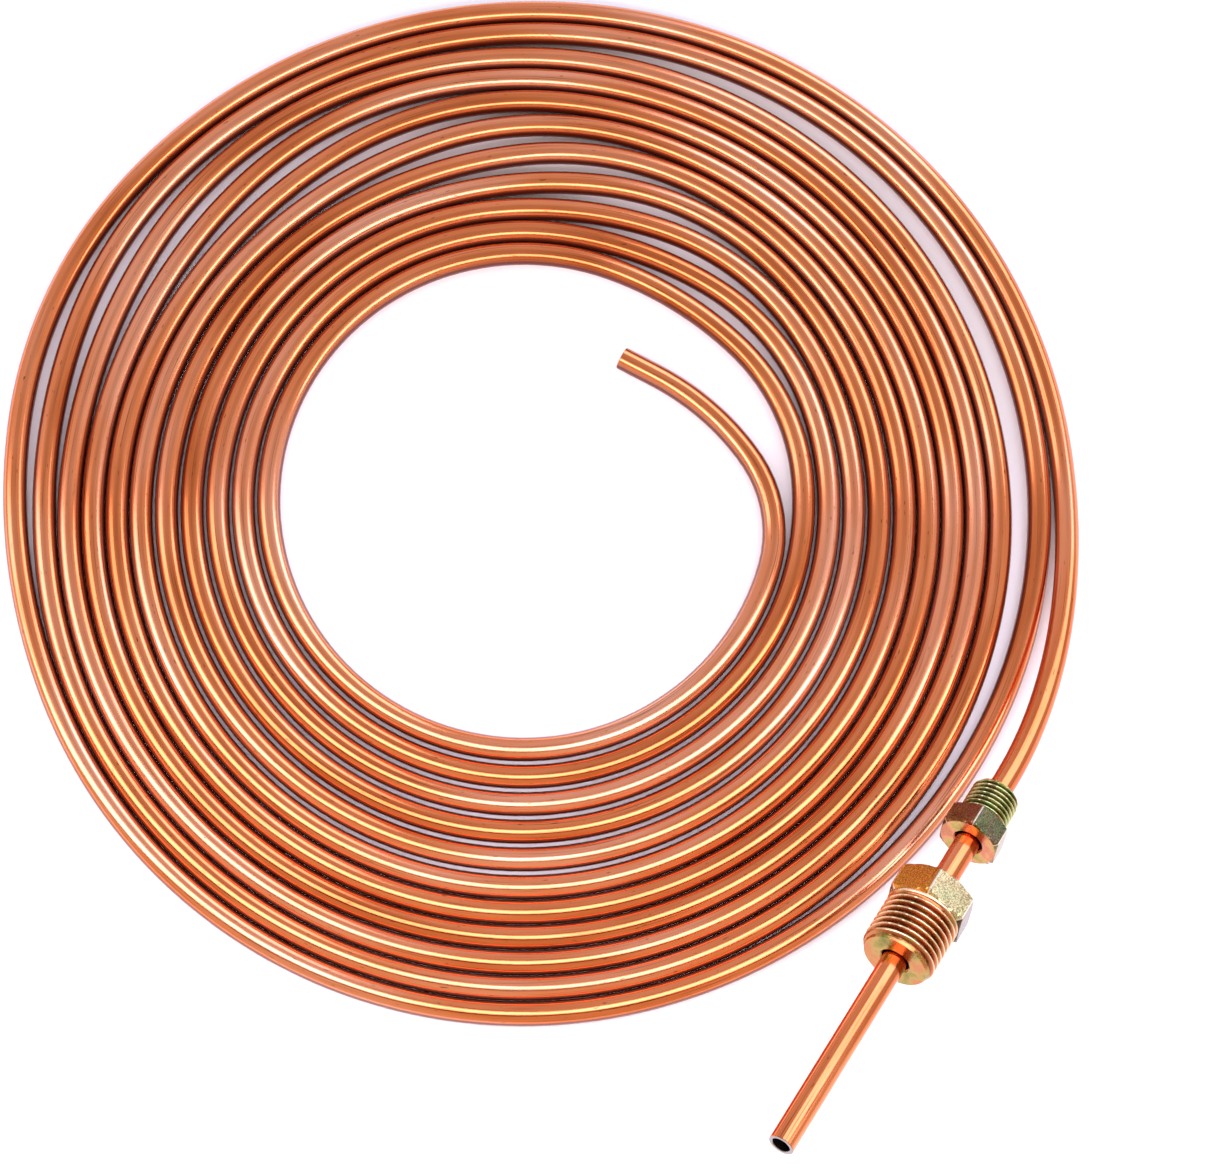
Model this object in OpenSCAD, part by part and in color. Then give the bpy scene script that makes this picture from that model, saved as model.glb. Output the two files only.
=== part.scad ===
// Flat spiral coil of thin metal tube with two loose tube nuts on its outer tail.
// Origin: on the floor, at the middle of the coil's eye. +Z is up. Millimetres and degrees.

/* [Tube] */
// Outside diameter of the tube
tube_od = 4.76; // [4:0.02:5]
// Wall thickness of the tube
tube_wall = 0.71; // [0.5:0.01:0.9]

/* [Coil] */
// Radius of the innermost turn, to the middle of the tube
coil_r = 51.76; // [48:0.01:60]
// Outward step from one turn to the next
pitch = 4.85; // [4.84:0.01:5.4]
// Number of full turns
turns = 11; // [8:1:11]
// Angle of the first outward step, clockwise from +X
step_at = 323; // [310:1:330]
// How much earlier each later turn steps outward
step_lead = 13.5; // [12:0.5:15]
// Angle that one outward step takes
step_span = 64; // [50:1:70]
// Extra slack that each of the inner turns has on one side
slack = 0.28; // [0:0.01:0.3]
// How many of the inner turns have that slack
slack_turns = 5; // [0:1:6]
// How far the last turns bow outward near the tail
bow = 3.6; // [2:0.1:4]

/* [Inner end] */
// How far the inner end hooks into the eye
hook_depth = 16.5; // [10:0.5:18]
// Length of the straight piece at the inner end
inner_straight = 8; // [4:0.5:12]

/* [Tail] */
// Radius of the bend where the tail leaves the coil
bend_r = 92; // [70:1:95]
// Compass heading of the tail, clockwise from +X
tail_heading = 126; // [123:0.5:130]
// How steeply the tail rises from the floor
tail_rise = 24.5; // [20:0.5:30]
// Bare tube between the bend and the small nut
tail_start = 3.5; // [3:0.5:8]
// Gap between the two nuts
nut_gap = 13; // [8:0.5:16]
// Bare tube beyond the large nut
tail_free = 43; // [30:1:60]

/* [Nuts] */
// Clearance bore through both nuts
nut_bore = 5.4; // [5.38:0.02:5.8]
// Small nut across flats
small_flats = 11.11; // [11:0.01:12]
// Small nut thread diameter
small_thread = 9.4; // [9:0.05:9.8]
// Small nut hexagon length
small_hex_l = 5; // [4:0.5:6]
// Small nut total length
small_l = 13; // [11:0.5:15]
// Large nut across flats
large_flats = 14.29; // [14:0.01:15.5]
// Large nut thread diameter
large_thread = 14.1; // [13:0.05:14.2]
// Large nut hexagon length
large_hex_l = 6; // [5:0.5:8]
// Large nut total length
large_l = 17.5; // [16:0.5:20]

/* [Hidden] */
tube_r = tube_od / 2;
bore_r = tube_r - tube_wall;
// Neighbouring arcs stop a hair short of each other inside a ball a hair larger than the tube
joint_gap = 0.15;
joint_over = 0.02;
// Side towards which the inner turns have their slack, clockwise from +X
slack_side = 99;
// The bow starts, peaks and ends at these angles before and after the end of a turn
bow_start = -121;
bow_peak = -23;
bow_end = 75;
// The hook joins the innermost turn here, and would be level again this much earlier
hook_join = 17;
hook_span = 76;
hook_start = -43;
tail_leaves = -5.5;
// How each nut's hexagon is turned about the tail
small_turn = -15;
large_turn = -14;
// Length of the cone that leads into each thread
small_lead = 0.9;
large_lead = 1.5;
// Chamfer at both ends of each nut's bore
bore_flare = 0.3;

// A point at distance r and clockwise angle t about the middle c
function polar(c, r, t) = c + r * [cos(t), -sin(t)];
// The travel direction of a circle about the origin at clockwise angle t
function along(t) = [-sin(t), -cos(t)];

// The turn's circle: middle and radius
function turn_mid(k) = min(k, slack_turns) * slack * [cos(slack_side), -sin(slack_side)];
function turn_r(k) = coil_r + k * pitch + min(k, slack_turns) * slack;
// Where turn k steps outward, as a running angle from the start of the innermost turn
function step_mid(k) = step_at + k * (360 - step_lead);

// A waypoint: place and travel direction
function waypoint(k, t, out = 0) = [polar(turn_mid(k), turn_r(k) + out, t), along(t)];

// The hook's place and direction follow a smooth S curve into the innermost turn
function ease(u) = u * u * (3 - 2 * u);
function hook_r(t) = coil_r - hook_depth * (1 - ease((t - hook_join + hook_span) / hook_span));
function hook_point(t) = polar([0, 0], hook_r(t), t);
function unit(v) = v / norm(v);
hook_dir = unit(hook_point(hook_start + 0.01) - hook_point(hook_start - 0.01));

last = turns - 1;
last_end = turns * 360;
way = concat(
    [[hook_point(hook_start), hook_dir], waypoint(0, hook_join)],
    [for (k = [0:last - 1], e = [0, 1])
        waypoint(k + e, step_mid(k) + (e - 0.5) * step_span)],
    [waypoint(last, last_end - 360 + bow_start),
     waypoint(last, last_end - 360 + bow_peak, bow),
     waypoint(last, last_end - 360 + bow_end)],
    [for (e = [0, 1]) waypoint(last + e, step_mid(last) + (e - 0.5) * step_span)],
    [waypoint(turns, last_end + bow_start),
     waypoint(turns, last_end + bow_peak, bow),
     waypoint(turns, last_end + tail_leaves, bow)]
);

function angle_of(v) = atan2(v[1], v[0]);
// The clockwise arc that leaves p along d and ends at q: [middle, radius, end angle, sweep]
function arc_to(p, d, q) =
    let (n = [d[1], -d[0]], v = q - p, r = v * v / (2 * n * v), c = p + r * n)
    [c, r, angle_of(q - c), (angle_of(p - c) - angle_of(q - c) + 720) % 360];
// Two arcs that join two waypoints smoothly
function two_arcs(a, b) =
    let (v = b[0] - a[0], s = a[1] + b[1], e = 2 * (1 - a[1] * b[1]),
         h = (sqrt((v * s) * (v * s) + e * (v * v)) - v * s) / e,
         m = (a[0] + b[0] + h * (a[1] - b[1])) / 2,
         one = arc_to(a[0], a[1], m),
         two = arc_to(b[0], -b[1], m))
    [one, [two[0], -two[1], angle_of(b[0] - two[0]),
           (angle_of(m - two[0]) - angle_of(b[0] - two[0]) + 720) % 360]];
// Waypoints on one circle need only one arc
function one_circle(a, b) = abs(cross(a[1], b[0] - a[0]) - cross(b[0] - a[0], b[1])) < 0.0005;
arcs = [for (i = [0:len(way) - 2])
    each one_circle(way[i], way[i + 1])
        ? [arc_to(way[i][0], way[i][1], way[i + 1][0])]
        : two_arcs(way[i], way[i + 1])];

// The bend turns from the coil's direction to the tail's in one tilted arc
leave_at = way[len(way) - 1];
t0 = [leave_at[1][0], leave_at[1][1], 0];
tail_dir = [cos(tail_rise) * cos(tail_heading), -cos(tail_rise) * sin(tail_heading), sin(tail_rise)];
bend_angle = acos(t0 * tail_dir);
bend_in = unit(tail_dir - cos(bend_angle) * t0);
bend_mid = [leave_at[0][0], leave_at[0][1], 0] + bend_r * bend_in;
tail_from = bend_mid - bend_r * cos(bend_angle) * bend_in + bend_r * sin(bend_angle) * t0;
tail_side = unit(cross([0, 0, 1], tail_dir));
small_at = tail_start;
large_at = small_at + small_l + nut_gap;
tail_l = large_at + large_l + tail_free;
$fn = 72;

// Puts local X, Y and Z along the given directions, with the origin at p
module frame(x, y, z, p) {
    multmatrix([[x[0], y[0], z[0], p[0]], [x[1], y[1], z[1], p[1]], [x[2], y[2], z[2], p[2]]])
        children();
}
// Local Z runs up the tail from the end of the bend
module on_tail(s) {
    frame(tail_side, cross(tail_dir, tail_side), tail_dir, tail_from) translate([0, 0, s]) children();
}
// Local Z runs from the hook's start out to the inner end
module on_hook() {
    back = [-hook_dir[0], -hook_dir[1], 0];
    frame([0, 0, 1], cross(back, [0, 0, 1]), back, [way[0][0][0], way[0][0][1], 0]) children();
}
// One arc of round bar of radius r
module bar_arc(big_r, start, sweep, r) {
    trim = joint_gap / big_r * 180 / PI;
    rotate_extrude(start = start + trim, angle = sweep - 2 * trim) translate([big_r, 0]) circle(r);
}
// The whole path as a round bar of radius r that runs past both ends by extra
module bar(r, extra) {
    for (a = arcs) translate([a[0][0], a[0][1], 0]) bar_arc(a[1], a[2], a[3], r);
    for (a = arcs) translate([a[0][0] + a[1] * cos(a[2]), a[0][1] + a[1] * sin(a[2]), 0])
        rotate([90, 0, a[2]]) sphere(r + joint_over);
    on_hook() sphere(r + joint_over);
    on_hook() translate([0, 0, joint_gap]) cylinder(h = inner_straight - joint_gap + extra, r = r);
    frame(-bend_in, t0, cross(t0, bend_in), bend_mid) bar_arc(bend_r, 0, bend_angle, r);
    on_tail(0) sphere(r + joint_over);
    on_tail(joint_gap) cylinder(h = tail_l - joint_gap + extra, r = r);
}
module tube_coil() {
    color([0.80, 0.45, 0.30]) translate([0, 0, tube_r]) difference() {
        bar(tube_r, 0);
        bar(bore_r, 1);
    }
}
// A tube nut along +Z: hexagon first, then the thread at its full diameter
module nut(flats, hex_l, thread_d, total_l, lead) {
    corner_r = flats / 2 / cos(30);
    corner_cut = (corner_r - flats / 2) * tan(30);
    thread_r = thread_d / 2;
    bore = nut_bore / 2;
    difference() {
        union() {
            intersection() {
                cylinder(h = hex_l, r = corner_r, $fn = 6);
                rotate_extrude() polygon([[0, 0], [flats / 2, 0], [corner_r, corner_cut],
                    [corner_r, hex_l - corner_cut], [flats / 2, hex_l], [0, hex_l]]);
            }
            rotate_extrude() polygon([[0, hex_l / 2], [thread_r, hex_l / 2], [thread_r, total_l - lead],
                [thread_r - lead * 0.6, total_l], [0, total_l]]);
        }
        rotate_extrude() polygon([[0, -1], [bore + bore_flare + 1, -1], [bore, bore_flare],
            [bore, total_l - bore_flare], [bore + bore_flare + 1, total_l + 1], [0, total_l + 1]]);
    }
}
module small_tube_nut() {
    color([0.62, 0.60, 0.35]) translate([0, 0, tube_r]) on_tail(small_at + small_l)
        rotate([180, 0, small_turn]) nut(small_flats, small_hex_l, small_thread, small_l, small_lead);
}
module large_tube_nut() {
    color([0.66, 0.60, 0.38]) translate([0, 0, tube_r]) on_tail(large_at)
        rotate([0, 0, large_turn]) nut(large_flats, large_hex_l, large_thread, large_l, large_lead);
}

tube_coil();
small_tube_nut();
large_tube_nut();
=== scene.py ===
# %% [markdown]
# # A flat spiral coil of thin tube with two tube nuts
#
# The object is one long copper-coated steel tube, wound flat like a watch spring. Its inner
# end hooks into the open eye. Its outer end leaves the last turn as a straight tail that
# rises, and two plated nuts sit loose on that tail. The lesson builds the three pieces in
# the order a workshop would: draw a straight tube, wind it, make the nut blanks, roll their
# threads, then plate and light everything.

# %% The frame, and the libraries used
from math import acos, atan2, cos, pi, radians, sin, sqrt, tan

import bpy
from mathutils import Matrix, Vector


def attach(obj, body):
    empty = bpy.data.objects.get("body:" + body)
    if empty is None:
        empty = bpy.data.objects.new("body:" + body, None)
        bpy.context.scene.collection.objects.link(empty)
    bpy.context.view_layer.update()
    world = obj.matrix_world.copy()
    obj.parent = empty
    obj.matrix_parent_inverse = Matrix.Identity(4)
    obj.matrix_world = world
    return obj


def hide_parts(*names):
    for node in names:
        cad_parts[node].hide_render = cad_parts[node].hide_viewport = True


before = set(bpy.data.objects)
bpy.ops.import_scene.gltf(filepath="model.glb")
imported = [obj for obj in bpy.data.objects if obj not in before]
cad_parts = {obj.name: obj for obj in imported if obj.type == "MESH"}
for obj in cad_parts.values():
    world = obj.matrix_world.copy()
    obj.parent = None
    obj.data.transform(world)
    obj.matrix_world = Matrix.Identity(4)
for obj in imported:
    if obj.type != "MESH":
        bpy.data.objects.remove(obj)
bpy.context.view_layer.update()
MM = 0.001

# %% [markdown]
# ## Sizes
#
# Every size of the real object is set once here, in millimetres. The tube is the common
# 3/16 inch brake and fuel line. The nuts are a 3/8-24 and a 9/16-18 tube nut, so the wall,
# the threads and the hexagons are all standard sizes.

# %% Sizes of the tube and the nuts' bore
TUBE_R = 4.76 / 2
BORE_R = TUBE_R - 0.71  # the wall is 0.71 mm
NUT_BORE_R = 5.4 / 2
print("tube:", 2 * TUBE_R, "mm outside and", round(2 * BORE_R, 2), "mm inside")

# %% Sizes of the coil, with angles in degrees clockwise from +X
COIL_R = 51.76          # centre line of the innermost turn
PITCH = 4.85            # from one turn to the next
TURNS = 11
STEP_AT = 323           # where the innermost turn steps outward
STEP_LEAD = 13.5        # each turn steps this much earlier than the last
STEP_SPAN = 64          # the angle that one step takes
# Each of the inner turns has a little more slack than the last, on one side of the coil
SLACK, SLACK_TURNS, SLACK_SIDE = 0.28, 5, 99
# How far the last turns bow outward near the tail, and where the bow starts, peaks and ends
BOW, BOW_START, BOW_PEAK, BOW_END = 3.6, -121, -23, 75
# The inner end's S curve: its depth into the eye, the angle where it joins the innermost
# turn, the angle it would span in full, and the angle where the tube starts on it
HOOK_DEPTH, HOOK_JOIN, HOOK_SPAN, HOOK_START = 16.5, 17, 76, -43
INNER_STRAIGHT = 8      # the straight piece at the inner end
print("the eye is", round(2 * (COIL_R - TUBE_R), 1), "mm across inside the innermost turn")

# %% Sizes along the tail
# The bend's radius, the tail's heading and rise, and the angle where it leaves the coil
BEND_R, TAIL_HEADING, TAIL_RISE, TAIL_LEAVES = 92, 126, 24.5, -5.5
# Bare tube, small nut, gap, large nut, and bare tube up to the open end
SMALL_AT, SMALL_L, NUT_GAP, LARGE_L, TAIL_FREE = 3.5, 13, 13, 17.5, 43
LARGE_AT = SMALL_AT + SMALL_L + NUT_GAP
TAIL_L = LARGE_AT + LARGE_L + TAIL_FREE
SMALL_TURN, LARGE_TURN = -15, -14   # how each hexagon is turned about the tail, in degrees
print("straight part of the tail:", TAIL_L, "mm")

# %% [markdown]
# ## Two small helpers
#
# A colour on screen is written as a hex code, but a shader works with linear light, so one
# function converts it. The other helper adds a node to a tree, sets its options, and links
# or fills its inputs, which keeps every tree below short enough to read. A colour ramp's
# stops are given as pairs of place and hex code.

# %% Helpers for colours and nodes
def colour(code):
    """A hex sRGB colour as linear red, green, blue and 1."""
    parts = [int(code[i:i + 2], 16) / 255 for i in (1, 3, 5)]
    return [c / 12.92 if c <= 0.04045 else ((c + 0.055) / 1.055) ** 2.4 for c in parts] + [1]


def add(tree, kind, inputs=(), stops=(), **options):
    """A new node with its options and colour stops set, and its inputs filled or linked."""
    node = tree.nodes.new(kind)
    for name, value in options.items():
        setattr(node, name, value)
    for place, code in stops:
        spare = node.color_ramp.elements.new(place)
        spare.color = colour(code)
    if stops:
        node.color_ramp.elements.remove(node.color_ramp.elements[0])
        node.color_ramp.elements.remove(node.color_ramp.elements[-1])
    for key, value in dict(inputs).items():
        if isinstance(value, bpy.types.Node):
            value = next(s for s in value.outputs if s.enabled)
        if isinstance(value, bpy.types.NodeSocket):
            tree.links.new(value, node.inputs[key])
        else:
            node.inputs[key].default_value = value
    return node


print("copper in linear light:", [round(c, 3) for c in colour("#E39A74")[:3]])

# %% [markdown]
# ## The path of the coil
#
# A hand-wound flat coil isn't a true spiral. Each turn lies against the one inside it as a
# plain circle, and then steps outward by one pitch over about a sixth of a turn. So the
# path is a list of waypoints, each a place and a direction, joined by pairs of circular
# arcs that meet smoothly. Two arcs are enough to join any two waypoints, and arcs are what
# a real bending roller makes.

# %% Waypoints of the winding
def polar(middle, r, t):
    """The point at distance r and clockwise angle t, in degrees, about a middle."""
    return Vector((middle[0] + r * cos(radians(t)), middle[1] - r * sin(radians(t))))


def along(t):
    """The direction of clockwise travel at that angle."""
    return Vector((-sin(radians(t)), -cos(radians(t))))


def waypoint(k, t, out=0.0):
    """A place on turn k, counted from the inside, and the direction of travel there."""
    slack = min(k, SLACK_TURNS) * SLACK
    middle = polar((0, 0), slack, SLACK_SIDE)
    return polar(middle, COIL_R + k * PITCH + slack + out, t), along(t)


def hook_point(t):
    """The hook's place: an S curve that sinks from the innermost turn into the eye."""
    u = (t - HOOK_JOIN + HOOK_SPAN) / HOOK_SPAN
    return polar((0, 0), COIL_R - HOOK_DEPTH * (1 - u * u * (3 - 2 * u)), t)


def step(k):
    """The places where turn k begins its outward step and where the next turn has it behind it."""
    middle = STEP_AT + k * (360 - STEP_LEAD)
    return [waypoint(k, middle - STEP_SPAN / 2), waypoint(k + 1, middle + STEP_SPAN / 2)]


HAIR = 0.01             # degrees to either side, for the hook's direction
hook_dir = (hook_point(HOOK_START + HAIR) - hook_point(HOOK_START - HAIR)).normalized()
way = [(hook_point(HOOK_START), hook_dir), waypoint(0, HOOK_JOIN)]
for k in range(TURNS - 1):
    way += step(k)
last, end = TURNS - 1, TURNS * 360
way += [waypoint(last, end - 360 + BOW_START), waypoint(last, end - 360 + BOW_PEAK, BOW),
        waypoint(last, end - 360 + BOW_END)]
way += step(last)
way += [waypoint(TURNS, end + BOW_START), waypoint(TURNS, end + BOW_PEAK, BOW),
        waypoint(TURNS, end + TAIL_LEAVES, BOW)]
print("waypoints:", len(way))

# %% Arcs between the waypoints
# On one circle both directions make the same angle with the chord. This is how far their
# cross products with it may differ, in millimetres.
SAME_CIRCLE = 0.0005


def centre(p, d, q):
    """The middle and radius of the circle that leaves p along d and passes through q."""
    n, v = Vector((d.y, -d.x)), q - p
    r = v.dot(v) / (2 * n.dot(v))
    return p + r * n, r


def arc(c, r, p, q):
    """The clockwise arc from p to q about c: middle, radius, starting angle and sweep."""
    start, stop = atan2(p.y - c.y, p.x - c.x), atan2(q.y - c.y, q.x - c.x)
    return c, r, start, (start - stop) % (2 * pi)


def join(a, b):
    """One arc if both waypoints lie on one circle, and otherwise two that meet smoothly."""
    v = b[0] - a[0]
    if abs(a[1].cross(v) - v.cross(b[1])) < SAME_CIRCLE:
        return [arc(*centre(a[0], a[1], b[0]), a[0], b[0])]
    s, e = a[1] + b[1], 2 * (1 - a[1].dot(b[1]))
    h = (sqrt(v.dot(s) ** 2 + e * v.dot(v)) - v.dot(s)) / e
    m = (a[0] + b[0] + h * (a[1] - b[1])) / 2
    c, r = centre(b[0], -b[1], m)
    return [arc(*centre(a[0], a[1], m), a[0], m), arc(c, -r, m, b[0])]


arcs = []
for a, b in zip(way, way[1:]):
    arcs += join(a, b)
print("arcs:", len(arcs), "radii in mm from", round(min(a[1] for a in arcs), 1), "to",
      round(max(a[1] for a in arcs), 1))

# %% [markdown]
# ## The rising tail
#
# The tube leaves the coil through one gentle bend that is tilted out of the flat, and runs
# straight from there. Its direction is set by a heading in the plan and a rise. The bend
# is one arc in the plane that holds both directions.

# %% The bend and the tail's own directions
leave, leave_dir = way[-1][0].to_3d(), way[-1][1].to_3d()
rise, heading = radians(TAIL_RISE), radians(TAIL_HEADING)
tail_dir = Vector((cos(rise) * cos(heading), -cos(rise) * sin(heading), sin(rise)))
bend_angle = acos(leave_dir.dot(tail_dir))
bend_in = (tail_dir - cos(bend_angle) * leave_dir).normalized()
bend_mid = leave + BEND_R * bend_in
tail_from = bend_mid - BEND_R * cos(bend_angle) * bend_in + BEND_R * sin(bend_angle) * leave_dir
tail_side = Vector((0, 0, 1)).cross(tail_dir).normalized()
print("tail starts at", [round(c, 2) for c in tail_from], "mm and runs along",
      [round(c, 4) for c in tail_dir])

# %% The whole centre line, sampled every half millimetre
SAMPLE = 0.5
line = [way[0][0].to_3d() - hook_dir.to_3d() * INNER_STRAIGHT * f for f in (1, 0.75, 0.5, 0.25)]
for c, r, start, sweep in arcs:
    steps = max(2, round(r * sweep / SAMPLE))
    line += [Vector((c.x + r * cos(start - sweep * i / steps),
                     c.y + r * sin(start - sweep * i / steps), 0)) for i in range(steps)]
steps = round(BEND_R * bend_angle / SAMPLE)
line += [bend_mid - BEND_R * cos(bend_angle * i / steps) * bend_in
         + BEND_R * sin(bend_angle * i / steps) * leave_dir for i in range(steps)]
steps = round(TAIL_L / SAMPLE)
line += [tail_from + tail_dir * TAIL_L * i / steps for i in range(steps + 1)]
line = [(p + Vector((0, 0, TUBE_R))) * MM for p in line]
LENGTH = sum((b - a).length for a, b in zip(line, line[1:]))
print("centre line:", len(line), "points,", round(LENGTH, 4), "m long")

# %% The centre line as a curve that the winding tree can follow
path_data = bpy.data.curves.new("centre_line", "CURVE")
path_data.dimensions = "3D"
spline = path_data.splines.new("POLY")
spline.points.add(len(line) - 1)
spline.points.foreach_set("co", [v for p in line for v in (*p, 1)])
path = bpy.data.objects.new("centre_line", path_data)
bpy.context.scene.collection.objects.link(path)
print("the curve has", len(spline.points), "points")

# %% [markdown]
# ## A straight tube, ready to wind
#
# The real tube is drawn straight and wound later, and the mesh is made the same way. It is
# a closed loop of rings: along the outside, round the cut edge, back along the bore, and
# round the other cut edge. The outside has a ring every two and a half millimetres, so that
# the turns look round, and the bore, which is seen only at the ends, has half as many.

# %% The straight tube
SIDES = 24
BREAK = 0.1 * MM        # the saw leaves the tube's edges broken by about this much
RING_STEP = 2.5 * MM    # between two rings on the outside


def ring_mesh(name, rings, sides):
    """A closed skin over a loop of rings, each given as its height along X and its radius."""
    verts = [(x, r * cos(2 * pi * j / sides), r * sin(2 * pi * j / sides))
             for x, r in rings for j in range(sides)]
    n = len(rings)
    faces = [(i * sides + j, (i + 1) % n * sides + j, (i + 1) % n * sides + (j + 1) % sides,
              i * sides + (j + 1) % sides) for i in range(n) for j in range(sides)]
    mesh = bpy.data.meshes.new(name)
    mesh.from_pydata(verts, [], faces)
    return mesh


out_r, in_r = TUBE_R * MM, BORE_R * MM
outside = round(LENGTH / RING_STEP)
rings = [(BREAK + (LENGTH - 2 * BREAK) * i / outside, out_r) for i in range(outside + 1)]
rings += [(LENGTH, out_r - BREAK), (LENGTH, in_r + BREAK)]
inside = outside // 2
rings += [(LENGTH - BREAK - (LENGTH - 2 * BREAK) * i / inside, in_r) for i in range(inside + 1)]
rings += [(0, in_r + BREAK), (0, out_r - BREAK)]
straight = ring_mesh("straight_tube", rings[::-1], SIDES)
print("straight tube:", len(rings), "rings,", 2 * len(straight.polygons), "triangles")

# %% [markdown]
# ## Winding the tube
#
# Geometry Nodes do the winding. For each point of the straight tube, the tree looks up the
# centre line at the same share of its length, and puts the point beside it: its Y goes
# outward across the line and its Z goes up. The point's place on the straight tube is kept
# as an attribute, because the drawing lines and stains on the metal follow the tube and not
# the room.

# %% The beginning and the end of any geometry tree
def new_tree(name, sockets):
    """A geometry tree with the given inputs: name, socket type and starting value."""
    tree = bpy.data.node_groups.new(name, "GeometryNodeTree")
    tree.interface.new_socket("Geometry", in_out="INPUT", socket_type="NodeSocketGeometry")
    for label, kind, value in sockets:
        socket = tree.interface.new_socket(label, in_out="INPUT", socket_type=kind)
        if value is not None:
            socket.default_value = value
    tree.interface.new_socket("Geometry", in_out="OUTPUT", socket_type="NodeSocketGeometry")
    return tree, tree.nodes.new("NodeGroupInput").outputs


def finish_tree(tree, geometry, material):
    """Every tree ends with real geometry that carries its material."""
    real = add(tree, "GeometryNodeRealizeInstances", {"Geometry": geometry})
    coated = add(tree, "GeometryNodeSetMaterial", {"Geometry": real, "Material": material})
    add(tree, "NodeGroupOutput", {"Geometry": coated})
    print(tree.name, "has", len(tree.nodes), "nodes")


# %% The winding tree: which place on the line each point belongs to
wind, given = new_tree("wind_tube", [("Path", "NodeSocketObject", None),
                                     ("Length", "NodeSocketFloat", 1.0),
                                     ("Material", "NodeSocketMaterial", None)])
place = add(wind, "GeometryNodeInputPosition")
kept = add(wind, "GeometryNodeStoreNamedAttribute",
           {"Geometry": given["Geometry"], "Name": "straight_place", "Value": place},
           data_type="FLOAT_VECTOR", domain="POINT")
apart = add(wind, "ShaderNodeSeparateXYZ", {0: place}).outputs
guide = add(wind, "GeometryNodeObjectInfo", {"Object": given["Path"]})
share = add(wind, "ShaderNodeMath", {0: apart["X"], 1: given["Length"]}, operation="DIVIDE")
point = add(wind, "GeometryNodeSampleCurve",
            {"Curves": guide.outputs["Geometry"], "Factor": share}, mode="FACTOR")
print(wind.name, "has", len(wind.nodes), "nodes so far")

# %% The winding tree's own directions, and the move
heads = point.outputs["Tangent"]
level = add(wind, "ShaderNodeVectorMath", {0: heads, 1: (0, 0, 1)}, operation="CROSS_PRODUCT")
across = add(wind, "ShaderNodeVectorMath", {0: level}, operation="NORMALIZE")
upward = add(wind, "ShaderNodeVectorMath", {0: across, 1: heads}, operation="CROSS_PRODUCT")
flipped = add(wind, "ShaderNodeMath", {0: apart["Y"], 1: -1.0}, operation="MULTIPLY")
outward = add(wind, "ShaderNodeVectorMath", {0: across, "Scale": flipped}, operation="SCALE")
lift = add(wind, "ShaderNodeVectorMath", {0: upward, "Scale": apart["Z"]}, operation="SCALE")
beside = add(wind, "ShaderNodeVectorMath", {0: outward, 1: lift}, operation="ADD")
wound_at = add(wind, "ShaderNodeVectorMath", {0: beside, 1: point.outputs["Position"]},
               operation="ADD")
wound = add(wind, "GeometryNodeSetPosition", {"Geometry": kept, "Position": wound_at})
finish_tree(wind, wound, given["Material"])


# %% One function that runs a tree and keeps the plain mesh
def grow(name, mesh, tree, values, sharp=30):
    """Run a tree on a mesh with the named inputs, and return the result as an object."""
    worker = bpy.data.objects.new(name + "_worker", mesh)
    bpy.context.scene.collection.objects.link(worker)
    modifier = worker.modifiers.new(tree.name, "NODES")
    modifier.node_group = tree
    for item in tree.interface.items_tree:
        if item.in_out == "INPUT" and item.name in values:
            modifier[item.identifier] = values[item.name]
    graph = bpy.context.evaluated_depsgraph_get()
    plain = bpy.data.meshes.new_from_object(worker.evaluated_get(graph), depsgraph=graph)
    worker.modifiers.remove(modifier)
    bpy.data.objects.remove(worker)
    plain.name = name
    plain.shade_smooth()
    plain.set_sharp_from_angle(angle=radians(sharp))
    piece = bpy.data.objects.new(name, plain)
    bpy.context.scene.collection.objects.link(piece)
    print(name, "has", sum(len(f.vertices) - 2 for f in plain.polygons), "triangles")
    return piece


# %% [markdown]
# ## Copper-coated steel
#
# The tube is steel strip, rolled and brazed, with a thin coat of copper that gives it its
# colour. Drawing through a die leaves fine lines along the tube. Handling and air leave
# brown and pink patches and a few small dark specks. Copper is a metal, so the clean coat
# is fully metallic and its look comes from its colour and roughness. All patterns read the
# place on the straight tube, so they run along the turns.

# %% Stains and drawing lines on the tube
def new_material(name):
    """An empty material and its tree."""
    material = bpy.data.materials.new(name)
    material.use_nodes = True
    material.node_tree.nodes.clear()
    return material, material.node_tree


PATCHES_PER_M = 16
copper, t = new_material("copper_coated_steel_drawn")
where = add(t, "ShaderNodeAttribute", attribute_name="straight_place").outputs["Vector"]
# Patches are about 60 mm long and 7 mm wide
slow = add(t, "ShaderNodeMapping", {"Vector": where, "Scale": (PATCHES_PER_M, 150, 150)})
patches = add(t, "ShaderNodeTexNoise", {"Vector": slow, "Scale": 1.0, "Detail": 4.0})
tint = add(t, "ShaderNodeValToRGB", {"Fac": patches},
           [(0.30, "#BE6434"), (0.48, "#DC8252"), (0.70, "#E4A080")])
# The die's real lines are too fine to show, so they are drawn a quarter of a millimetre
# wide and about 20 mm long
thin = add(t, "ShaderNodeMapping", {"Vector": where, "Scale": (45, 4200, 4200)})
drawn = add(t, "ShaderNodeTexNoise", {"Vector": thin, "Scale": 1.0, "Detail": 2.0})
streak = add(t, "ShaderNodeMapRange", {"Value": drawn, "From Min": 0.60, "From Max": 0.74,
                                       "To Max": 0.75})
skin = add(t, "ShaderNodeMix", {0: streak, 6: tint, 7: colour("#7A3A1C")}, data_type="RGBA")
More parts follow.
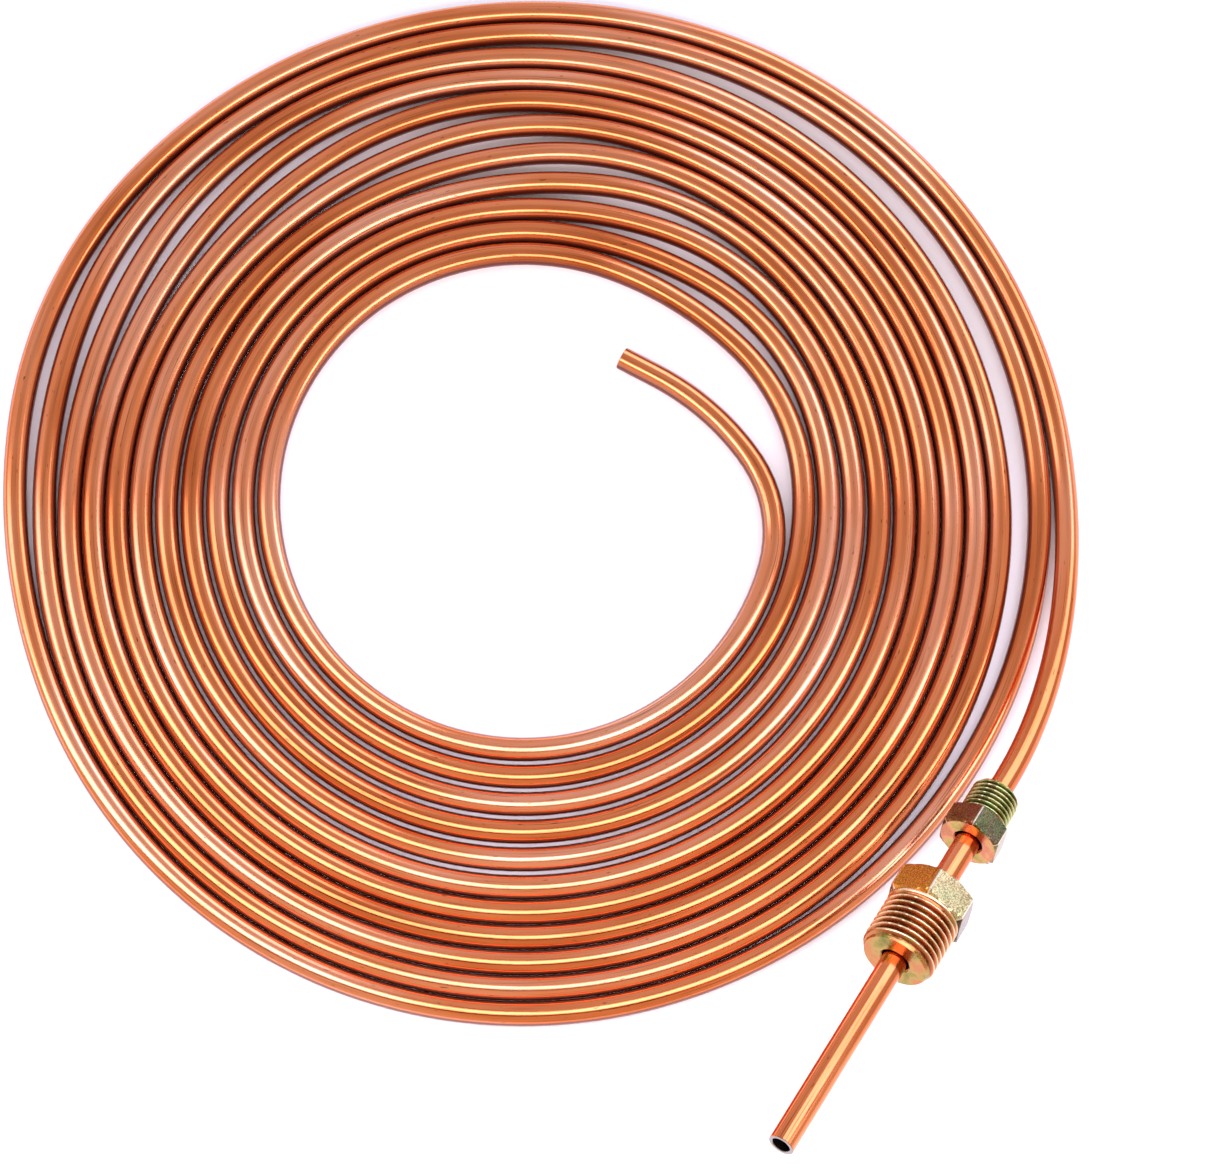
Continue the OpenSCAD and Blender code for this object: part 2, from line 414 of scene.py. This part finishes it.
# Oxide specks up to 2 mm long
dots = add(t, "ShaderNodeMapping", {"Vector": where, "Scale": (450, 2200, 2200)})
specks = add(t, "ShaderNodeTexNoise", {"Vector": dots, "Scale": 1.0, "Detail": 1.0})
speck = add(t, "ShaderNodeMapRange", {"Value": specks, "From Min": 0.71, "From Max": 0.80,
                                      "To Max": 0.8})
skin = add(t, "ShaderNodeMix", {0: speck, 6: skin, 7: colour("#5A2C1C")}, data_type="RGBA")
print("stain patches are about", 1000 / PATCHES_PER_M, "mm long")

# %% Painted shade on the flanks where the turns lie together, and bare steel at the cut ends
apart = add(t, "ShaderNodeSeparateXYZ", {0: where}).outputs
aside = add(t, "ShaderNodeMath", {0: apart["Y"]}, operation="ABSOLUTE")
# Painted shade covers the tube's two flanks, where each turn lies against the next
painted_flank_shade = add(t, "ShaderNodeMapRange", {"Value": aside, "From Min": 0.72 * TUBE_R * MM,
                                       "From Max": 0.90 * TUBE_R * MM, "To Max": 0.94})
# The painted shade on the flanks ends where the tail leaves the coil, 210 to 130 mm before its free
# end
in_coil = add(t, "ShaderNodeMapRange", {"Value": apart["X"], "From Min": LENGTH - 0.21,
                                        "From Max": LENGTH - 0.13, "To Min": 1, "To Max": 0})
film = add(t, "ShaderNodeMath", {0: painted_flank_shade, 1: in_coil}, operation="MULTIPLY")
# The flanks are painted dark maroon as shade
skin = add(t, "ShaderNodeMix", {0: film, 6: skin, 7: colour("#520E08")}, data_type="RGBA")
round_it = add(t, "ShaderNodeVectorMath", {0: where, 1: (0, 1, 1)}, operation="MULTIPLY")
reach = add(t, "ShaderNodeVectorMath", {0: round_it}, operation="LENGTH").outputs["Value"]
steel = add(t, "ShaderNodeMapRange", {"Value": reach, "From Min": (TUBE_R - 0.12) * MM,
                                      "From Max": (TUBE_R - 0.04) * MM,
                                      "To Min": 1, "To Max": 0})
skin = add(t, "ShaderNodeMix", {0: steel, 6: skin, 7: colour("#9A9692")}, data_type="RGBA")
shine = add(t, "ShaderNodeMapRange", {"Value": patches, "From Min": 0.3, "From Max": 0.7,
                                      "To Min": 0.13, "To Max": 0.22})
bump = add(t, "ShaderNodeBump", {"Strength": 0.22, "Distance": 0.02 * MM, "Height": drawn})
# The painted shade is also made less metallic, so it stays maroon in the gaps instead of mirroring
# them
bare = add(t, "ShaderNodeMapRange", {"Value": film, "From Max": 0.94, "To Min": 1.0,
                                     "To Max": 0.45})
metal = add(t, "ShaderNodeBsdfPrincipled", {"Base Color": skin, "Metallic": bare,
                                            "Roughness": shine, "Normal": bump})
add(t, "ShaderNodeOutputMaterial", {"Surface": metal})
print(copper.name, "has", len(t.nodes), "nodes")

# %% The coil, wound and coated
coil = grow("wound_tube", straight, wind,
            {"Path": path, "Length": LENGTH, "Material": copper})
bpy.data.objects.remove(path)
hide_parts("tube_coil")
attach(coil, "coil")

# %% [markdown]
# ## The tube nuts
#
# A tube nut is turned from hexagon bar: the corners are chamfered, the front is turned
# down to the thread's diameter, and a hole for the tube runs right through. The blank is
# one closed loop of rings, as the tube was, but each ring may be a circle or a hexagon. The
# thread isn't cut into the blank here: the next tree does that, as the thread roller does.

# %% Sizes of the nuts, in millimetres
nuts = {"small_tube_nut": dict(flats=11.11, hex_l=5, thread_d=9.4, total_l=SMALL_L, lead=0.9,
                               pitch=25.4 / 24),
        "large_tube_nut": dict(flats=14.29, hex_l=6, thread_d=14.1, total_l=LARGE_L, lead=1.5,
                               pitch=25.4 / 18)}
AROUND = 144            # points round a ring: 24 to each flat of the hexagon
PER_PITCH = 20          # rings to each turn of the thread
FLARE = 0.3             # chamfer at each end of the bore
EDGE, EDGE_UP = 0.05, 0.02      # break between the hexagon and its end faces: in, and up
INSET = 0.35            # a ring this far inside the flats keeps the end face's shading flat
# A ring on the hexagon's front face, this far outside the thread. The large nut's thread is
# nearly as wide as its flats, so there the ring lies 0.075 mm past the face's edge, and
# leaves a small fold.
OUTSET = 0.12
LEAD_SLOPE = 0.6        # how much the lead cone's radius falls for each millimetre
THREAD_DEPTH = 0.6134   # depth of an outside thread as a share of its pitch
ROUND, HEXAGON, THREAD = 0, 1, 2
print("threads per nut:", [round((n["total_l"] - n["hex_l"]) / n["pitch"], 1)
                           for n in nuts.values()])


# %% The rings of a blank
def blank_rows(flats, hex_l, thread_d, total_l, lead, pitch):
    """The height, radius and kind of each ring: up the outside and back down the bore."""
    corner = flats / 2 / cos(pi / 6)
    cut = (corner - flats / 2) * tan(pi / 6)
    half, middle = flats / 2, (flats / 2 + corner) / 2
    rows = [(z, NUT_BORE_R, ROUND) for z in (total_l - FLARE, total_l * 0.6, total_l * 0.3, FLARE)]
    rows += [(0, NUT_BORE_R + FLARE, ROUND), (0, half - INSET, ROUND), (0, half - EDGE, ROUND),
             (EDGE_UP, half, HEXAGON), (cut * 0.5, middle, HEXAGON), (cut, corner, HEXAGON),
             (hex_l / 2, corner, HEXAGON), (hex_l - cut, corner, HEXAGON),
             (hex_l - cut * 0.5, middle, HEXAGON), (hex_l - EDGE_UP, half, HEXAGON),
             (hex_l, half - EDGE, ROUND), (hex_l, thread_d / 2 + OUTSET, ROUND)]
    straight_l = total_l - lead - hex_l
    fine = round(straight_l / pitch * PER_PITCH)
    rows += [(hex_l + straight_l * i / fine, thread_d / 2, THREAD) for i in range(fine + 1)]
    cone = round(lead / pitch * PER_PITCH)
    rows += [(total_l - lead + lead * i / cone, thread_d / 2 - lead * LEAD_SLOPE * i / cone, THREAD)
             for i in range(1, cone + 1)]
    return rows + [(total_l, NUT_BORE_R + 2 * FLARE, ROUND), (total_l, NUT_BORE_R + FLARE, ROUND)]


print("rings in the small blank:", len(blank_rows(**nuts["small_tube_nut"])))


# %% The blank's mesh
def blank(name, sizes):
    """A closed nut blank along +Z in metres, with its hexagon at the bottom."""
    rows, verts = blank_rows(**sizes), []
    for z, r, kind in rows:
        for j in range(AROUND):
            turn = 2 * pi * (j + 0.5) / AROUND
            flat_at = sizes["flats"] / 2 / cos(turn % (pi / 3) - pi / 6)
            reach = min(r, flat_at) if kind == HEXAGON else r
            verts.append((reach * cos(turn) * MM, reach * sin(turn) * MM, z * MM))
    n = len(rows)
    faces = [(i * AROUND + j, i * AROUND + (j + 1) % AROUND,
              (i + 1) % n * AROUND + (j + 1) % AROUND, (i + 1) % n * AROUND + j)
             for i in range(n) for j in range(AROUND)]
    mesh = bpy.data.meshes.new(name)
    mesh.from_pydata(verts, [], faces)
    zone = mesh.attributes.new("thread_zone", "FLOAT", "POINT")
    zone.data.foreach_set("value", [float(row[2] == THREAD) for row in rows for _ in range(AROUND)])
    print(name, "blank has", n, "rings")
    return mesh


# %% [markdown]
# ## Rolling the threads
#
# A thread is a ridge that follows a helix. At each point of the blank, the tree works out
# how far round the helix the point is, and from that the depth of the groove: a flat crest,
# two straight flanks, and a flat root. The flanks stand 54 degrees apart here, and 60 in the
# standard. The point is moved in to that radius, unless the blank is already smaller there,
# as on its lead cone. Near the hexagon the groove fades out, because the roller's die lifts
# away there.

# %% The threading tree: the groove's depth at each point
thread, given = new_tree("roll_thread", [("Crest radius", "NodeSocketFloat", 0.005),
                                         ("Pitch", "NodeSocketFloat", 0.001),
                                         ("Depth", "NodeSocketFloat", 0.0006),
                                         ("Start", "NodeSocketFloat", 0.0),
                                         ("Material", "NodeSocketMaterial", None)])
place = add(thread, "GeometryNodeInputPosition")
apart = add(thread, "ShaderNodeSeparateXYZ", {0: place}).outputs
angle = add(thread, "ShaderNodeMath", {0: apart["Y"], 1: apart["X"]}, operation="ARCTAN2")
lag = add(thread, "ShaderNodeMath", {0: angle, 1: 2 * pi}, operation="DIVIDE")
climbed = add(thread, "ShaderNodeMath", {0: apart["Z"], 1: given["Pitch"]}, operation="DIVIDE")
phase = add(thread, "ShaderNodeMath", {0: climbed, 1: lag}, operation="SUBTRACT")
# 0 on the middle of a crest and 0.5 in the middle of a root
from_crest = add(thread, "ShaderNodeMath", {0: phase, 1: 0.5}, operation="PINGPONG")
# The flank runs from the crest, at a sixteenth of the pitch, to the root, at three eighths
groove = add(thread, "ShaderNodeMapRange", {"Value": from_crest, "From Min": 1 / 16,
                                            "From Max": 3 / 8})
risen = add(thread, "ShaderNodeMath", {0: apart["Z"], 1: given["Start"]}, operation="SUBTRACT")
fade = add(thread, "ShaderNodeMapRange", {"Value": risen, "From Max": given["Pitch"]})
share = add(thread, "ShaderNodeMath", {0: groove, 1: fade}, operation="MULTIPLY")
depth = add(thread, "ShaderNodeMath", {0: share, 1: given["Depth"]}, operation="MULTIPLY")
print(thread.name, "has", len(thread.nodes), "nodes so far")

# %% The threading tree: moving the point in, and keeping its place for the plating
want = add(thread, "ShaderNodeMath", {0: given["Crest radius"], 1: depth}, operation="SUBTRACT")
level = add(thread, "ShaderNodeVectorMath", {0: place, 1: (1, 1, 0)}, operation="MULTIPLY")
reach = add(thread, "ShaderNodeVectorMath", {0: level}, operation="LENGTH").outputs["Value"]
allowed = add(thread, "ShaderNodeMath", {0: want, 1: reach}, operation="MINIMUM")
ratio = add(thread, "ShaderNodeMath", {0: allowed, 1: reach}, operation="DIVIDE")
squeeze = add(thread, "ShaderNodeCombineXYZ", {"X": ratio, "Y": ratio, "Z": 1.0})
rolled = add(thread, "ShaderNodeVectorMath", {0: place, 1: squeeze}, operation="MULTIPLY")
zone = add(thread, "GeometryNodeInputNamedAttribute", {"Name": "thread_zone"}, data_type="FLOAT")
cut_in = add(thread, "GeometryNodeSetPosition",
             {"Geometry": given["Geometry"], "Position": rolled,
              "Selection": zone.outputs["Attribute"]})
kept = add(thread, "GeometryNodeStoreNamedAttribute",
           {"Geometry": cut_in, "Name": "nut_place", "Value": place},
           data_type="FLOAT_VECTOR", domain="POINT")
finish_tree(thread, kept, given["Material"])

# %% [markdown]
# ## Yellow chromate on zinc
#
# Tube nuts are steel with a few thousandths of a millimetre of zinc, dipped in a chromate
# bath that leaves a thin olive-gold film. The film's thickness varies, so its colour drifts
# between gold, olive, pink and green. Each flat of the hexagon is also given its own tone,
# mostly a painted reflection, dark on some flats and bright on others. In the thread the
# grooves carry painted shade and the crests a painted highlight.


# %% The hexagon's plating
def plate_hexagon(t, nut, where, tones, grit, sides, ends):
    """The colours of the flats, with their painted reflections, their edges and the end faces."""
    around = add(t, "ShaderNodeTexGradient", {"Vector": where}, gradient_type="RADIAL")
    around = around.outputs["Fac"]
    # Each flat gets one colour from sides, a painted reflection: dark on some flats, bright on
    # others
    flat = add(t, "ShaderNodeValToRGB", {"Fac": around},
               [(i / 6, code) for i, code in enumerate(sides)])
    flat.color_ramp.interpolation = "CONSTANT"
    flat = add(t, "ShaderNodeMix", {0: 0.2, 6: flat, 7: tones}, data_type="RGBA")
    # A crystalline grain about a quarter of a millimetre across
    grain = add(t, "ShaderNodeMapRange", {"Value": grit, "From Min": 0.58, "From Max": 0.40,
                                          "To Max": 0.5})
    flat = add(t, "ShaderNodeMix", {0: grain, 6: flat, 7: colour("#6E6A50")},
               data_type="RGBA", blend_type="MULTIPLY")
    sixths = add(t, "ShaderNodeMath", {0: around, 1: 6.0}, operation="MULTIPLY")
    from_edge = add(t, "ShaderNodeMath", {0: sixths, 1: 0.5}, operation="PINGPONG")
    worn = add(t, "ShaderNodeMapRange", {"Value": from_edge, "From Min": 0.008,
                                         "From Max": 0.03, "To Min": 0.85, "To Max": 0})
    flat = add(t, "ShaderNodeMix", {0: worn, 6: flat, 7: colour("#EAE2CE")}, data_type="RGBA")
    face = add(t, "ShaderNodeMix", {0: 0.3, 6: ends, 7: tones}, data_type="RGBA")
    level = add(t, "ShaderNodeVectorMath", {0: where, 1: (1, 1, 0)}, operation="MULTIPLY")
    reach = add(t, "ShaderNodeVectorMath", {0: level}, operation="LENGTH").outputs["Value"]
    # The flats' colours reach 0.07 mm over the edge onto the end faces
    outer = add(t, "ShaderNodeMath", {0: reach, 1: (nut["flats"] / 2 - 0.07) * MM},
                operation="GREATER_THAN")
    hexagon = add(t, "ShaderNodeMix", {0: outer, 6: face, 7: flat}, data_type="RGBA")
    return hexagon.outputs[2], face.outputs[2], reach


# %% The whole nut's plating
def chromate(name, nut, sides, film, groove, ends):
    """Zinc with a chromate film: a painted reflection on each flat, and painted shade and highlight
    in the thread.
    """
    material, t = new_material(name)
    where = add(t, "ShaderNodeAttribute", attribute_name="nut_place").outputs["Vector"]
    # The film drifts over about 5 mm
    drift = add(t, "ShaderNodeTexNoise", {"Vector": where, "Scale": 210.0, "Detail": 4.0})
    grit = add(t, "ShaderNodeTexNoise", {"Vector": where, "Scale": 4000.0, "Detail": 2.0})
    tones = add(t, "ShaderNodeValToRGB", {"Fac": drift}, film).outputs["Color"]
    ends = add(t, "ShaderNodeValToRGB", {"Fac": drift}, ends).outputs["Color"]
    hexagon, face, reach = plate_hexagon(t, nut, where, tones, grit.outputs[0], sides, ends)
    crest = nut["thread_d"] / 2
    # The thread's colour by depth: painted shade in the grooves, a painted highlight on the crests
    height = add(t, "ShaderNodeMapRange", {"Value": reach, "From Max": crest * MM,
                                           "From Min": (crest - nut["pitch"] * THREAD_DEPTH) * MM})
    thread = add(t, "ShaderNodeValToRGB", {"Fac": height}, groove)
    thread = add(t, "ShaderNodeMix", {0: 0.25, 6: thread, 7: tones}, data_type="RGBA")
    z = add(t, "ShaderNodeSeparateXYZ", {0: where}).outputs["Z"]
    # The thread's colours start a hair above the hexagon, which keeps its front face clear
    on_thread = add(t, "ShaderNodeMath", {0: z, 1: (nut["hex_l"] + 0.01) * MM},
                    operation="GREATER_THAN")
    skin = add(t, "ShaderNodeMix", {0: on_thread, 6: hexagon, 7: thread}, data_type="RGBA")
    # The lead cone and the front face are turned, not rolled
    lead_from = (nut["total_l"] - nut["lead"] * 0.75) * MM
    turned = add(t, "ShaderNodeMapRange", {"Value": z, "From Min": lead_from,
                                           "From Max": lead_from + 0.3 * MM, "To Max": 0.85})
    skin = add(t, "ShaderNodeMix", {0: turned, 6: skin, 7: face}, data_type="RGBA")
    shine = add(t, "ShaderNodeMapRange", {"Value": grit, "From Min": 0.3, "From Max": 0.7,
                                          "To Min": 0.16, "To Max": 0.32})
    bump = add(t, "ShaderNodeBump", {"Strength": 0.45, "Distance": 0.04 * MM, "Height": grit})
    metal = add(t, "ShaderNodeBsdfPrincipled", {"Base Color": skin, "Metallic": 1.0,
                                                "Roughness": shine, "Normal": bump})
    add(t, "ShaderNodeOutputMaterial", {"Surface": metal})
    print(name, "has", len(t.nodes), "nodes")
    return material


# %% The two finishes
# For each nut: the flats' painted reflections, the film's drift, the thread from root to crest with
# painted shade and highlight, and the end faces
gold = chromate("yellow_chromate_zinc", nuts["large_tube_nut"],
                ["#8A8258", "#A88A50", "#8A8258", "#1E1C12", "#CEC294", "#D8882E"],
                [(0.36, "#7A7034"), (0.46, "#B09450"), (0.54, "#C07850"), (0.64, "#8E9850")],
                [(0.0, "#4A1C0C"), (0.35, "#8A4024"), (0.75, "#B87048"), (0.96, "#ECD4B0")],
                [(0.38, "#6C7430"), (0.48, "#A89450"), (0.60, "#C2704A")])
olive = chromate("olive_chromate_zinc", nuts["small_tube_nut"],
                 ["#84402A", "#5A5E46", "#7C7A4C", "#6A6A46", "#84402A", "#5A5E46"],
                 [(0.36, "#6E6A38"), (0.46, "#A8A35E"), (0.54, "#B8806A"), (0.64, "#86985A")],
                 [(0.0, "#24260E"), (0.35, "#4E5A26"), (0.75, "#8C9A58"), (0.96, "#C8CEA0")],
                 [(0.38, "#8E8A3C"), (0.50, "#C08A5A"), (0.60, "#B8604C")])


# %% The two nuts on the tail
def on_tail(s, turn, flip):
    """The matrix that puts a nut at distance s up the tail, turned about it."""
    side_up = tail_dir.cross(tail_side)
    axes = Matrix((tail_side, side_up, tail_dir)).transposed().to_4x4()
    at = tail_from + tail_dir * s + Vector((0, 0, TUBE_R))
    spin = Matrix.Rotation(radians(turn), 4, "Z")
    over = Matrix.Rotation(pi, 4, "X") if flip else Matrix.Identity(4)
    return Matrix.Translation(at * MM) @ axes @ spin @ over


# The small nut is turned over, so that its thread points at the coil
places = {"small_tube_nut": (SMALL_AT + SMALL_L, SMALL_TURN, True),
          "large_tube_nut": (LARGE_AT, LARGE_TURN, False)}
finishes = {"small_tube_nut": olive, "large_tube_nut": gold}
for name, sizes in nuts.items():
    nut = grow("threaded_" + name, blank(name, sizes), thread,
               {"Crest radius": sizes["thread_d"] / 2 * MM, "Pitch": sizes["pitch"] * MM,
                "Depth": sizes["pitch"] * THREAD_DEPTH * MM, "Start": sizes["hex_l"] * MM,
                "Material": finishes[name]})
    nut.data.transform(on_tail(*places[name]))
    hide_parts(name)
    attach(nut, name.replace("_tube", ""))

# %% [markdown]
# ## Floor, light and camera
#
# The coil lies on a plain white floor. A long, narrow soft light overhead, longer than the
# coil is wide, draws the thin bright line along each turn where the tube runs across the
# picture. A strip of dark card beside it is mirrored just below that line, where the bright
# room would be otherwise, and makes the metal there a little darker. A light at the back
# right brightens the tail, a weak one fills the left side, and the room does the rest.


# %% The floor and the card
def stage_plane(name, x, y, z, tone, kind):
    """A flat rectangle of the studio, from its corners' X and Y and its height."""
    mesh = bpy.data.meshes.new(name)
    corners = [(x[0], y[0], z), (x[1], y[0], z), (x[1], y[1], z), (x[0], y[1], z)]
    mesh.from_pydata(corners, [], [(0, 1, 2, 3)])
    piece = bpy.data.objects.new(name, mesh)
    bpy.context.scene.collection.objects.link(piece)
    paper, t = new_material(kind)
    sheet = add(t, "ShaderNodeBsdfPrincipled", {"Base Color": colour(tone), "Roughness": 0.85})
    add(t, "ShaderNodeOutputMaterial", {"Surface": sheet})
    mesh.materials.append(paper)
    print(name, "at height", z)
    return piece


STRIP_Y, STRIP_Z, STRIP_LONG, STRIP_WIDE, CARD_WIDE = -0.10, 0.22, 0.9, 0.10, 0.06
stage_plane("floor", (-3, 3), (-3, 3), 0, "#F4F3F5", "white_paper_floor")
beside = STRIP_Y - STRIP_WIDE / 2
card = stage_plane("card", (-STRIP_LONG / 2, STRIP_LONG / 2), (beside - CARD_WIDE, beside),
                   STRIP_Z, "#6A4430", "dark_card")
card.visible_camera = card.visible_shadow = card.visible_diffuse = False


# %% The lights
def soft_light(name, at, target, size, power, tone):
    """A rectangular lamp that looks at a target, with its power in watts."""
    data = bpy.data.lights.new(name, "AREA")
    data.shape, data.size, data.size_y = "RECTANGLE", size[0], size[1]
    data.energy, data.color = power, colour(tone)[:3]
    lamp = bpy.data.objects.new(name, data)
    lamp.location = at
    lamp.rotation_euler = (Vector(target) - Vector(at)).to_track_quat("-Z", "Y").to_euler()
    bpy.context.scene.collection.objects.link(lamp)
    print(name, "is", size[0], "by", size[1], "m")
    return lamp


strip = soft_light("strip", (0, STRIP_Y, STRIP_Z), (0, STRIP_Y, 0), (STRIP_LONG, STRIP_WIDE),
                   1.7, "#EEE2F2")
strip.visible_camera = False
soft_light("back_right", (0.62, 0.62, 0.56), (0.06, -0.1, 0.04), (0.9, 0.5), 5.6, "#D4DEFF")
soft_light("side_left", (-1.3, 0.1, 1.0), (0, 0, 0), (0.5, 1.0), 4, "#F6F2FF")

# %% The studio around it
world = bpy.data.worlds.new("studio")
bpy.context.scene.world = world
world.use_nodes = True
t = world.node_tree
t.nodes.clear()
looks = add(t, "ShaderNodeTexCoord").outputs["Generated"]
facing = add(t, "ShaderNodeSeparateXYZ", {0: looks}).outputs
toward_back = add(t, "ShaderNodeMapRange", {"Value": facing["Y"], "From Min": -1.0})
wall = add(t, "ShaderNodeValToRGB", {"Fac": toward_back},
           [(0.25, "#FFE9D2"), (0.5, "#F6F0F0"), (0.75, "#F1ECF8")])
overhead = add(t, "ShaderNodeMapRange", {"Value": facing["Z"], "From Min": 0.86,
                                         "From Max": 0.96, "To Min": 1.0, "To Max": 0.75})
room = add(t, "ShaderNodeBackground", {"Color": wall, "Strength": overhead})
add(t, "ShaderNodeOutputWorld", {"Surface": room})
print("the room has", len(t.nodes), "nodes")

# %% The camera
CAMERA_UP, CAMERA_AWAY = radians(76.5), 0.5
camera_data = bpy.data.cameras.new("camera")
camera_data.lens = 73.5
camera_data.sensor_width = 36
camera_data.shift_x, camera_data.shift_y = 0.0658, -0.0754
camera = bpy.data.objects.new("camera", camera_data)
camera.location = (0, -cos(CAMERA_UP) * CAMERA_AWAY, sin(CAMERA_UP) * CAMERA_AWAY + TUBE_R * MM)
camera.rotation_euler = (pi / 2 - CAMERA_UP, 0, 0)
bpy.context.scene.collection.objects.link(camera)
bpy.context.scene.camera = camera
bpy.context.scene.view_settings.view_transform = "Standard"
print("camera at", [round(c, 3) for c in camera.location])
